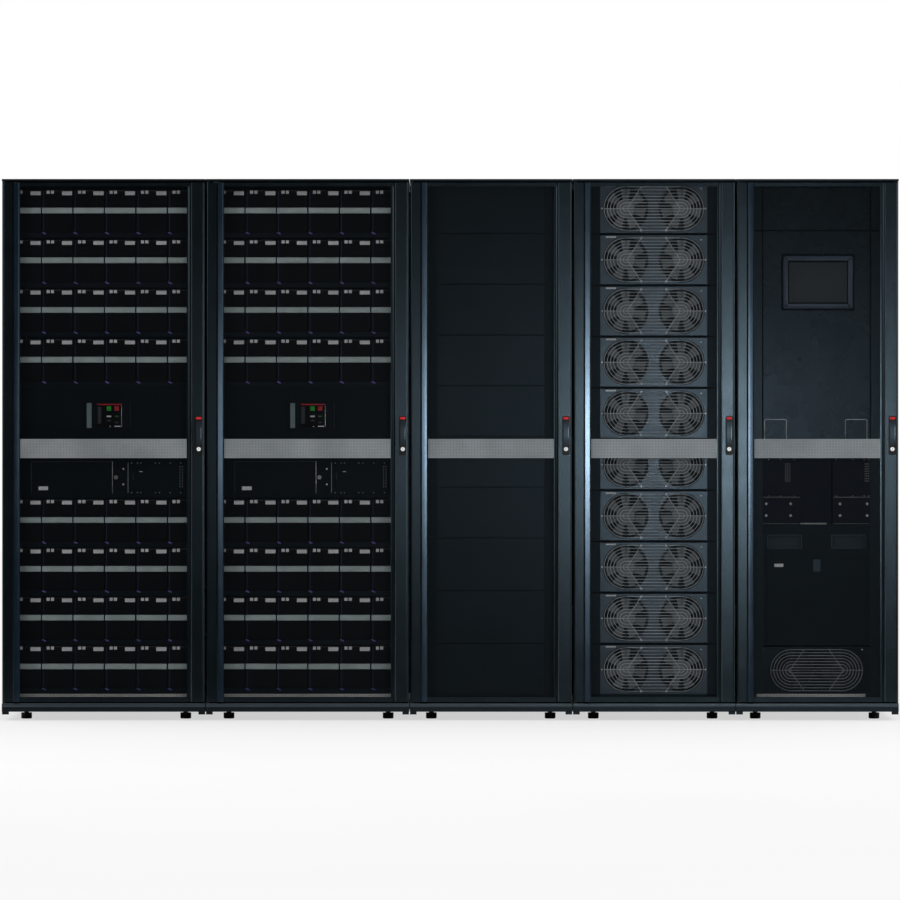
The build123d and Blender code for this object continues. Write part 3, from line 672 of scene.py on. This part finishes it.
def add_level(whole, outline, left, right, index=0):
    # A side outline (y, z) drawn from left to right.
    add_drawn(whole, [(left, y, z) for y, z in outline], [(right, y, z) for y, z in outline], index)


def keep_piece(name, whole, materials, body):
    mesh = bpy.data.meshes.new(name)
    whole.to_mesh(mesh)
    whole.free()
    for material in materials:
        mesh.materials.append(material)
    mesh.shade_smooth()
    mesh.set_sharp_from_angle(angle=math.radians(35))
    made = new_object(name, mesh)
    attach(made, body)


perforated_sheet = perforated_sheet_tree()
dot_rows = dot_row_tree()
frames = frame_tree()
screw_heads = screw_tree()
rounded_plates = rounded_plate_tree()
wire_guards = wire_guard_tree()

# Doors
trim_foot = door_foot + trim_short
trim_top = door_head - trim_short
trim_spots = [trim_start + trim_width * step / trim_steps for step in range(trim_steps + 1)]
key_profile = [(0.0076, lock_proud), (0.0076, -0.0006), (0.0066, -0.0014)]
key_profile += [(0.0030, -0.0014), (0.0030, -0.0006)]
for index, door in enumerate(doors):
    door_left = cabinet_lefts[index] + door_gap
    door_right = cabinet_lefts[index] + cabinet_widths[index] - door_gap
    left = door_left + hinge_stile - rebate
    right = door_right - latch_stile + rebate
    for part, low, high in (
        ("lower", opening_bottom - rebate, band_bottom - sheet_gap),
        ("upper", band_top + sheet_gap, opening_top + rebate),
    ):
        name = "%s_%s_mesh" % (door, part)
        place = (left, lip_back, low)
        replaced = [door + "_screens"] if part == "lower" else ()
        sheet = {"Width": right - left, "Height": high - low, "Pitch": screen_pitch, "Bar": screen_bar}
        bake(name, perforated_sheet, [place], mesh_coat, "screen_mesh", door, replaced, **sheet)
    inner_left = left + rebate + sheet_gap
    band = {"Width": right - left - 2 * rebate - 2 * sheet_gap, "Height": band_top - band_bottom}
    holes = {"Pitch": 0.0055, "Bar": 0.0036, "Thickness": 0.0012}
    place = (inner_left, band_front, band_bottom)
    bake(door + "_band", perforated_sheet, [place], band_coat, "door_coat", door, **band, **holes)
    place = (inner_left + band["Width"] / 2, lip_back, (band_bottom + band_top) / 2)
    plate = {"Corner": 0.0005, "Thickness": 0.0045}
    bake(door + "_band_back", rounded_plates, [place], inner_steel, "screen_mesh", door, **band, **plate)

    # The trim strip is flatter than the roll under it and looks a little to the right.
    nose_middle = door_left + hinge_flat + nose_width / 2
    nose_centre = door_face - nose_proud + nose_radius
    flat_x = nose_middle + trim_shift - trim_radius * math.sin(trim_turn)
    flat_y = door_face - nose_proud - trim_proud + trim_radius * math.cos(trim_turn)
    strip = []
    for spot in trim_spots:
        x = nose_middle + spot
        strip.append((x, flat_y - math.sqrt(trim_radius**2 - (x - flat_x) ** 2)))
    for spot in trim_spots[::-1]:
        roll_depth = math.sqrt((nose_radius - trim_depth) ** 2 - spot**2)
        strip.append((nose_middle + spot, nose_centre - roll_depth))
    trims = bmesh.new()
    add_upright(trims, strip, trim_foot, trim_top)
    # Place and radius of a bead beside the roll, one beside the cove and one on the outer edge; each in a
    # lighter copy of the door paint, a painted highlight
    beads = (
        (door_left + hinge_flat + nose_width - 0.0009, door_face + 0.0001, 0.0009),
        (door_right - latch_flat - 0.0004, door_face + 0.0004, 0.0016),
        (door_right - 0.0022, door_face + 0.0021, 0.0011),
    )
    for x, y, radius in beads:
        add_upright(trims, circle(bead_sides, radius, x, y), trim_foot, trim_top, index=1)
    keep_piece(door + "_stile_trims", trims, [nose_coat, bead_highlight_coat], door)

    # Key lock with its slot, red bar, and a bright metal strip down the lever's right edge, a painted
    # highlight
    lever_x = door_right - lever_from_edge
    lock = bmesh.new()
    add_turned(lock, (lever_x, lock_face, lock_height), key_profile)
    # The slot is a black block on the lock's face, painted shade for the key hole
    add_on_lever(lock, lever_x, key_slot_shade, index=1)
    keep_piece(door + "_key_lock", lock, [lock_white, black_trim], door)
    bar = bmesh.new()
    add_on_lever(bar, lever_x, red_bar)
    keep_piece(door + "_red_bar", bar, [mark_red], door)
    edge = bmesh.new()
    add_on_lever(edge, lever_x, lever_highlight_strip)
    keep_piece(door + "_lever_highlight_strip", edge, [lever_highlight_metal], door + "_handle")

# The rolled lip along the top of each base, in the beads' lighter coat, a painted highlight
lip_high = base_top - 0.0005
lip_low = base_top - 0.0135
lip_proud = 0.0020
lip_behind = 0.0008
lip_short = 0.0015
lip_steps = 8
lip_half = (lip_high - lip_low) / 2
lip_radius = (lip_half**2 + lip_proud**2) / (2 * lip_proud)
lip_outline = []
for step in range(lip_steps + 1):
    rise = lip_half * (1 - 2 * step / lip_steps)
    depth = lip_radius - math.sqrt(lip_radius**2 - rise**2)
    lip_outline.append((door_face - lip_proud + depth, (lip_high + lip_low) / 2 + rise))
lip_outline += [(door_face + lip_behind, lip_low), (door_face + lip_behind, lip_high)]
lips = bmesh.new()
for left, width in zip(cabinet_lefts, cabinet_widths):
    add_level(lips, lip_outline, left + lip_short, left + width - lip_short)
keep_piece("base_lips", lips, [bead_highlight_coat], "root")

# Wire guards
power_middle = cabinet_middle(power_cabinet)
control_middle = cabinet_middle(control_cabinet)
tray_middle = tray_bottom + tray_height / 2
fan_guard = {"Spacing": fan_spacing, "Radius": fan_height / 2 - guard_margin, "smooth": True}
tray_guard = {"Spacing": tray_spacing, "Radius": tray_height / 2 - guard_margin, "smooth": True}
places = [(power_middle, guard_front, bottom + fan_height / 2) for bottom in fan_rows]
bake("power_wire_guards", wire_guards, places, guard_wire, "guard_wire", "root", ["fan_guards"], **fan_guard)
places = [(control_middle, guard_front, tray_middle)]
bake("control_wire_guard", wire_guards, places, tray_wire, "guard_wire", **tray_guard)


def pan_head(radius, proud):
    return {"Radius": radius, "Proud": proud}


def ring_clips(middle, half_spacing, height, half_height, ring_step):
    # Clips on the three outer rings, above and below each end of a guard's straight runs.
    rises = [half_height - outer_ring - ring * ring_step for ring in range(3)]
    return [
        (middle + side * half_spacing, guard_front - clip_proud, height + end * rise)
        for side in (-1, 1)
        for end in (-1, 1)
        for rise in rises
    ]


# Screws, lamps, labels and clips of the fan modules and the fan tray
fan_screw_side = 0.1905
fan_lamp_side = 0.175
fan_lamp_rise = 0.074
tray_lamp_side = 0.168
tray_lamp_rise = 0.076
stay_rise = fan_height / 2 - 0.0095
stay_screw_front = guard_front - 0.0022
fan_screws = []
stay_screws = []
lamps = [(control_middle + tray_lamp_side, equipment_plane, tray_middle + tray_lamp_rise)]
clips = ring_clips(control_middle, tray_spacing / 2, tray_middle, tray_height / 2, 0.011)
for bottom in fan_rows:
    middle = bottom + fan_height / 2
    lamps.append((power_middle + fan_lamp_side, equipment_plane, middle + fan_lamp_rise))
    clips += ring_clips(power_middle, 0.103, middle, fan_height / 2, 0.01175)
    for side in (-1, 1):
        fan_screws.append((power_middle + side * fan_screw_side, equipment_plane, middle))
        stay_x = power_middle + side * stay_near
        stay_screws += [(stay_x, stay_screw_front, middle + end * stay_rise) for end in (-1, 1)]
labels = [(power_middle - 0.158, equipment_plane, bottom + fan_height - 0.0055) for bottom in fan_rows]
label_size = {"Width": 0.038, "Height": 0.0055, "Corner": 0.0008, "Thickness": 0.0004}
clip_size = {"Width": 0.0085, "Height": 0.0048, "Corner": 0.0012, "Thickness": 0.0012}
for name, tree, places, material, slot, sizes in (
    ("fan_module_screws", screw_heads, fan_screws, screw_zinc, "module_coat", pan_head(0.0036, 0.0018)),
    ("guard_stay_screws", screw_heads, stay_screws, screw_zinc, "guard_wire", pan_head(0.0046, 0.0022)),
    ("fan_module_lamps", screw_heads, lamps, lamp_white, "module_coat", pan_head(0.0030, 0.0012)),
    ("fan_module_labels", rounded_plates, labels, label_white, "module_coat", label_size),
    ("guard_clips", rounded_plates, clips, trim_grey, "guard_wire", clip_size),
):
    bake(name, tree, places, material, slot, **sizes)

# Labels and violet clips of the battery packs, and a row of pale dots along each pack's top edge, a painted
# highlight
pack_places = [
    (cabinet_middle(index) + pack_pitch * (number - (packs_on_shelf - 1) / 2), top)
    for index in battery_cabinets
    for top in shelf_rows
    for number in range(packs_on_shelf)
]


def on_packs(*steps, rise, depth=pack_face):
    # The same places on every pack, each a step from its middle and a rise from its foot.
    return [(x + step, depth, top + rise) for x, top in pack_places for step in steps]


stickers = on_packs(0.0360, rise=pack_height - 0.0125)
small_labels = on_packs(-0.0335, -0.0178, rise=pack_height - 0.0085)
# A row of pale dots along each pack's top edge, a painted highlight
edge_highlight_dots = on_packs(-0.009, rise=pack_height - 0.0032)
dividers = on_packs(-0.050, rise=pack_height / 2)
pack_clips = on_packs(-0.048, rise=-0.002, depth=equipment_plane)
sticker = {"Width": 0.0375, "Height": 0.0137, "Corner": 0.001, "Thickness": 0.0004}
small_label = {"Width": 0.0115, "Height": 0.0115, "Corner": 0.001, "Thickness": 0.0004}
divider = {"Width": 0.0028, "Height": 0.150, "Corner": 0.0005, "Thickness": 0.0008}
clip = {"Width": 0.0150, "Height": 0.0050, "Corner": 0.0015, "Thickness": 0.0010, "Tilt": -0.42}
for name, tree, places, material, sizes in (
    ("stickers", rounded_plates, stickers, label_white, sticker),
    ("small_labels", rounded_plates, small_labels, label_white, small_label),
    ("edge_highlight_dots", dot_rows, edge_highlight_dots, pale_grey, {}),
    ("dividers", rounded_plates, dividers, dark_violet, divider),
    ("clips", rounded_plates, pack_clips, violet_plastic, clip),
):
    bake("pack_" + name, tree, places, material, "battery_case", **sizes)

# Switch panels of the battery cabinets
panel_finishes = [trim_grey, black_trim, mark_red, button_green, button_red]
panel_finishes += [label_white, mark_green, edge_grey, screw_steel]
breaker_front = equipment_plane - 0.012
window = equipment_plane - 0.004
breaker = window - 0.0030
cover = equipment_plane - 0.0060
fuse_plate = equipment_plane - 0.0040
knob_back = equipment_plane - 0.008
switch_blocks = [
    (-0.0645, -0.0465, 1.0755, 1.1675, breaker_front, 0.0010, 0.0008, trim_grey),
    (-0.0260, 0.0660, 1.0780, 1.1660, window, 0.0030, 0.0010, black_trim),
    (-0.0255, 0.0655, 1.1600, 1.1655, breaker, 0.0008, 0.0003, mark_red),
    (-0.0245, -0.0105, 1.0920, 1.1540, breaker, 0.0014, 0.0008, edge_grey),
    (0.0090, 0.0258, 1.1390, 1.1560, breaker, 0.0030, 0.0010, button_green),
    (0.0375, 0.0540, 1.1390, 1.1560, breaker, 0.0030, 0.0010, button_red),
    (0.0090, 0.0258, 1.1160, 1.1215, breaker, 0.0005, 0.0, label_white),
    (0.0385, 0.0530, 1.1160, 1.1215, breaker, 0.0005, 0.0, mark_green),
    (0.0100, 0.0248, 1.1000, 1.1060, breaker, 0.0012, 0.0004, edge_grey),
    (0.0385, 0.0530, 1.0930, 1.0990, breaker, 0.0012, 0.0004, edge_grey),
    (0.0375, 0.0605, 1.0800, 1.0838, breaker, 0.0005, 0.0, label_white),
    (0.0195, 0.0232, 1.0800, 1.0830, breaker, 0.0005, 0.0, label_white),
    (0.0625, 0.0652, 1.0790, 1.1590, breaker, 0.0014, 0.0004, screw_steel),
    (0.0960, 0.0985, 1.0760, 1.1680, equipment_plane, 0.0008, 0.0003, edge_grey),
    (0.0285, 0.0315, 0.8350, 0.9530, cover, 0.0012, 0.0004, screw_steel),
    (-0.2700, -0.2680, 0.8350, 0.9530, cover, 0.0006, 0.0002, edge_grey),
    (-0.2680, 0.0280, 0.9510, 0.9525, cover, 0.0006, 0.0002, edge_grey),
    (-0.2420, -0.2070, 0.8470, 0.8600, cover, 0.0005, 0.0, label_white),
    (0.0860, 0.0890, 0.8370, 0.9480, fuse_plate, 0.0010, 0.0004, trim_grey),
    (0.1290, 0.1410, 0.9140, 0.9165, fuse_plate, 0.0005, 0.0, label_white),
    (0.1050, 0.1075, 0.8850, 0.9080, fuse_plate, 0.0008, 0.0003, edge_grey),
]
knob_profile = [(0.0078, 0.0002), (0.0078, -0.0006), (0.0070, -0.0012), (0.0040, -0.0012), (0.0034, -0.0002)]
stud_profile = [(0.0034, 0.0005), (0.0034, -0.0010), (0.0026, -0.0018), (0.0012, -0.0018), (0.0010, -0.0010)]
for index in battery_cabinets:
    middle = cabinet_middle(index)
    panel = bmesh.new()
    add_raised(panel, middle, switch_blocks, panel_finishes)
    knob_finish = panel_finishes.index(screw_steel)
    add_turned(panel, (middle + 0.043, knob_back, 0.894), knob_profile, index=knob_finish)
    stud_finish = panel_finishes.index(label_white)
    for height in (0.925, 0.868):
        place = (middle + 0.070, equipment_plane, height)
        add_turned(panel, place, stud_profile, sides=14, index=stud_finish)
    keep_piece("switch_panel_%d_details" % (index + 1), panel, panel_finishes, "root")

tiny_screw = pan_head(0.0021, 0.0010)
fuse_screws = []
for index in battery_cabinets:
    for x in (0.101, 0.122, 0.135, 0.188, 0.203, 0.243, 0.282):
        fuse_screws += [(cabinet_middle(index) + x, fuse_plate, height) for height in (0.8375, 0.9465)]
    for x in (0.279, 0.288):
        fuse_screws += [(cabinet_middle(index) + x, fuse_plate, 0.860 + step * 0.0105) for step in range(8)]
bake("fuse_plate_screws", screw_heads, fuse_screws, pale_grey, "switch_coat", **tiny_screw)

# Perforated sills at the foot of the battery packs and of the fan tray
sill_foot = 0.0850
sill_front = equipment_plane - 0.0016
battery_sill = 0.696
sill = {"Height": 0.0105, "Pitch": 0.0052, "Bar": 0.0034, "Thickness": 0.0014}
for name, left, width in (
    ("battery_sill_1", cabinet_middle(0) - battery_sill / 2, battery_sill),
    ("battery_sill_2", cabinet_middle(1) - battery_sill / 2, battery_sill),
    ("control_sill", control_middle - 0.221, 0.401),
):
    place = (left, sill_front, sill_foot)
    bake(name + "_strip", perforated_sheet, [place], sill_grey, "inner_steel", Width=width, **sill)

# Display of the control cabinet
display_x = control_middle + 0.005
display_z = panel_top - top_panel - display_step - display_height / 2
bezel_front = equipment_plane - 0.012
screen_back = bezel_front + 0.003
display = bmesh.new()
# Half sizes, front, back, rounding and finish of the dark surround and of the glass on it
for half_width, half_height, front, back, rounding, index in (
    (0.1115, 0.0785, 0.0010, 0.0002, 0.0005, 1),
    (0.1065, 0.0735, 0.0018, -0.0008, 0.0004, 0),
):
    low = (display_x - half_width, screen_back - front, display_z - half_height)
    high = (display_x + half_width, screen_back + back, display_z + half_height)
    add_block(display, low, high, rounding, index)
keep_piece("display_screen", display, [screen_glass, black_trim], "root")

# Black strips in the seams around the control cabinet's panels and beside the fan modules, painted shade in
# the gaps
seam_foot = 0.970
seam_half = 0.0024
seam_proud = 0.0004
rail_middle = 0.2140
rail_half = 0.0170
seam_side = 0.1985
seam_height = panel_top - top_panel - panel_gap / 2
seam_pieces = [(control_middle + x, seam_half, seam_foot, panel_top) for x in (-seam_side, seam_side)]
level_seams = [(control_middle, rail_middle + rail_half, seam_height)]
for bottom in fan_rows:
    height = bottom - (fan_pitch - fan_height) / 2
    level_seams += [(power_middle + x, rail_half, height) for x in (-rail_middle, rail_middle)]
seam_pieces += [(x, half, height - seam_half, height + seam_half) for x, half, height in level_seams]
seams = bmesh.new()
for x, half, low, high in seam_pieces:
    front = equipment_plane - seam_proud
    add_block(seams, (x - half, front, low), (x + half, equipment_plane + sunk_in_panel, high))
keep_piece("panel_gap_shades", seams, [gap_shade_black], "root")

# Frames and liners on the control cabinet's panels
hand_hold = 0.118
hand_hold_height = 0.6570
liner_depth = equipment_plane + 0.0260
label_places = [(control_middle + x, equipment_plane, 1.0700) for x in (-0.1510, 0.1460)]
rim_places = [(control_middle + x, equipment_plane, hand_hold_height) for x in (-hand_hold, hand_hold)]
liner_places = [(control_middle + x, liner_depth, hand_hold_height) for x in (-hand_hold, hand_hold)]
bezel = {"Width": 0.2560, "Height": 0.1940, "Corner": 0.0008, "Rim": 0.0165, "Proud": 0.0016}
label_frame = {"Width": 0.0820, "Height": 0.0760, "Corner": 0.0050, "Rim": 0.0016, "Proud": 0.0010}
hand_rim = {"Width": 0.1275, "Height": 0.0505, "Corner": 0.0020, "Rim": 0.0030, "Proud": 0.0020}
liner = {"Width": 0.1200, "Height": 0.0430, "Corner": 0.0020, "Thickness": 0.0004}
for name, tree, places, material, slot, sizes in (
    ("display_bezel", frames, [(display_x, bezel_front, display_z)], bezel_coat, "blank_coat", bezel),
    ("label_frames", frames, label_places, label_white, "blank_coat", label_frame),
    ("hand_hold_rims", frames, rim_places, bezel_dark, "module_coat", hand_rim),
    ("hand_hold_liners", rounded_plates, liner_places, pocket_coat, "switch_coat", liner),
):
    bake(name, tree, places, material, slot, **sizes)

# Breaker boxes and plug-in module of the control cabinet
bay_finishes = [label_white, bezel_dark, pale_grey]
bay_back = equipment_plane + 0.060
bay_front = equipment_plane - 0.010
module_front = equipment_plane - 0.014
tab_front = module_front - 0.0080
bay_blocks = [
    (-0.0590, 0.0400, 0.7205, 0.7250, bay_back, 0.0100, 0.0005, label_white),
    (-0.1560, -0.1230, 0.5640, 0.5760, module_front, 0.0005, 0.0, label_white),
    (-0.1965, -0.0605, 0.8200, 0.8214, bay_front, 0.0008, 0.0003, pale_grey),
    (0.0605, 0.1965, 0.8200, 0.8214, bay_front, 0.0008, 0.0003, pale_grey),
    (-0.1965, -0.0605, 0.7226, 0.7240, bay_front, 0.0008, 0.0003, pale_grey),
    (0.0605, 0.1965, 0.7226, 0.7240, bay_front, 0.0008, 0.0003, pale_grey),
    (-0.0133, 0.0133, 0.5475, 0.5915, tab_front, 0.0005, 0.0, bezel_dark),
]
bay = bmesh.new()
add_raised(bay, control_middle, bay_blocks, bay_finishes)
keep_piece("control_bay_details", bay, bay_finishes, "root")


def on_bay(across, heights):
    return [(control_middle + x, bay_front, height) for x in across for height in heights]


knobs = on_bay((-0.186, -0.096, 0.086, 0.186), (0.7960, 0.7530))
bake("control_bay_knobs", screw_heads, knobs, lamp_white, "switch_coat", **pan_head(0.0050, 0.0030))
small_screws = on_bay((-0.177, -0.133, -0.082, 0.072, 0.133, 0.175, 0.192), (0.9595, 0.8250))
screw_columns = (-0.114, -0.107, -0.099, 0.179, 0.185, 0.191)
small_screws += on_bay(screw_columns, [0.8800 + step * 0.0090 for step in range(8)])
bake("control_bay_screws", screw_heads, small_screws, pale_grey, "switch_coat", **tiny_screw)


# Floor, light and camera
def flat_piece(name, points, faces, material):
    mesh = bpy.data.meshes.new(name)
    mesh.from_pydata(points, [], faces)
    mesh.materials.append(material)
    return new_object(name, mesh)


floor_reach = 40.0
floor_paint = finish("floor_paint", (0.9, 0.9, 0.9), 0.9, specular=0.0)
mottle(floor_paint, object_place(floor_paint), ((0.89, 0.89, 0.89), (0.91, 0.91, 0.91)), scale=0.8)
floor_corners = [(-1, -1), (1, -1), (1, 1), (-1, 1)]
floor_points = [(x * floor_reach, y * floor_reach, 0) for x, y in floor_corners]
floor = flat_piece("studio_floor", floor_points, [(0, 1, 2, 3)], floor_paint)

# The camera sees the floor more than half as plain white, with the object's shadow on it.
white_share = 0.6
seen_by_camera = shader_node(floor_paint, "ShaderNodeLightPath").outputs["Is Camera Ray"]
share = maths(floor_paint.node_tree, "MULTIPLY", seen_by_camera, white_share)
white = shader_node(floor_paint, "ShaderNodeEmission", Color=(1, 1, 1, 1), Strength=1.0)
painted = shader_of(floor_paint).outputs[0]
mixed = shader_node(floor_paint, "ShaderNodeMixShader", _0=share, _1=painted, _2=white.outputs[0])
floor_end = floor_paint.node_tree.nodes["Material Output"]
floor_paint.node_tree.links.new(mixed.outputs[0], floor_end.inputs["Surface"])

# A dark card in front of the floor and behind the camera, which only the gloss of the front shows
card_reach = 16.0
card_top = 12.0
card_low = 0.012
near_y = door_face - 0.5
far_y = door_face - 13.5
back_y = 4.0
card_path = [(near_y, card_low), (far_y, card_low), (far_y, card_top), (back_y, card_top), (back_y, card_low)]
card_points = [(side * card_reach, y, z) for y, z in card_path for side in (-1, 1)]
card_faces = [(0, 1, 3, 2), (2, 3, 5, 4), (3, 9, 7, 5), (2, 4, 6, 8)]
card_black = moulded("dark_card", (0.002, 0.002, 0.002), 0.9, 0.0)
card = flat_piece("dark_card", card_points, card_faces, card_black)
card.visible_camera = False
card.visible_diffuse = False
card.visible_transmission = False
card.visible_shadow = False

# A white world that lights the row a little less than it shows
world = bpy.data.worlds.new("studio")
bpy.context.scene.world = world
world.use_nodes = True
sky = world.node_tree
ray = add_node(sky, "ShaderNodeLightPath").outputs
seen = maths(sky, "MAXIMUM", ray["Is Camera Ray"], ray["Is Glossy Ray"])
clear = maths(sky, "MAXIMUM", seen, ray["Is Transmission Ray"])
strength = add_node(sky, "ShaderNodeMapRange", Value=clear, To_Min=0.95, To_Max=1.0)
background = sky.nodes["Background"]
background.inputs["Color"].default_value = (1, 1, 1, 1)
sky.links.new(strength.outputs["Result"], background.inputs["Strength"])


def soft_box(name, place, aim, width, height, watts, glow_only=False):
    lamp = bpy.data.lights.new(name, "AREA")
    lamp.shape = "RECTANGLE"
    lamp.size = width
    lamp.size_y = height
    lamp.energy = watts
    made = new_object(name, lamp)
    made.location = place
    made.rotation_euler = (Vector(aim) - Vector(place)).to_track_quat("-Z", "Y").to_euler()
    made.visible_camera = False
    made.visible_diffuse = not glow_only


# Two boxes that only gloss shows, then the two that light the row
soft_box("glow_box", (1.25, -5.2, 1.045), (0.95, -0.5, 1.06), 0.86, 0.36, 25, glow_only=True)
soft_box("wide_glow_box", (0.6, -5.3, 1.085), (0.5, -0.5, 1.1), 2.9, 0.43, 12.5, glow_only=True)
soft_box("right_box", (5.2, -3.2, 1.6), (0.6, -0.5, 1.1), 2.5, 1.5, 40)
soft_box("left_box", (-4.5, -5.0, 2.4), (-0.8, -0.5, 1.0), 1.6, 2.0, 40)

camera_data = bpy.data.cameras.new("camera")
camera = new_object("camera", camera_data)
camera_distance = 24.0
camera_side = -0.001
camera_height = 0.9946
picture_width = 3.309
sensor = 36
camera.location = (camera_side, door_face - camera_distance, camera_height)
camera.rotation_euler = (math.pi / 2, 0, 0)
camera_data.sensor_width = sensor
camera_data.lens = sensor * camera_distance / picture_width
camera_data.clip_end = 100
bpy.context.scene.camera = camera
bpy.context.scene.view_settings.view_transform = "Standard"
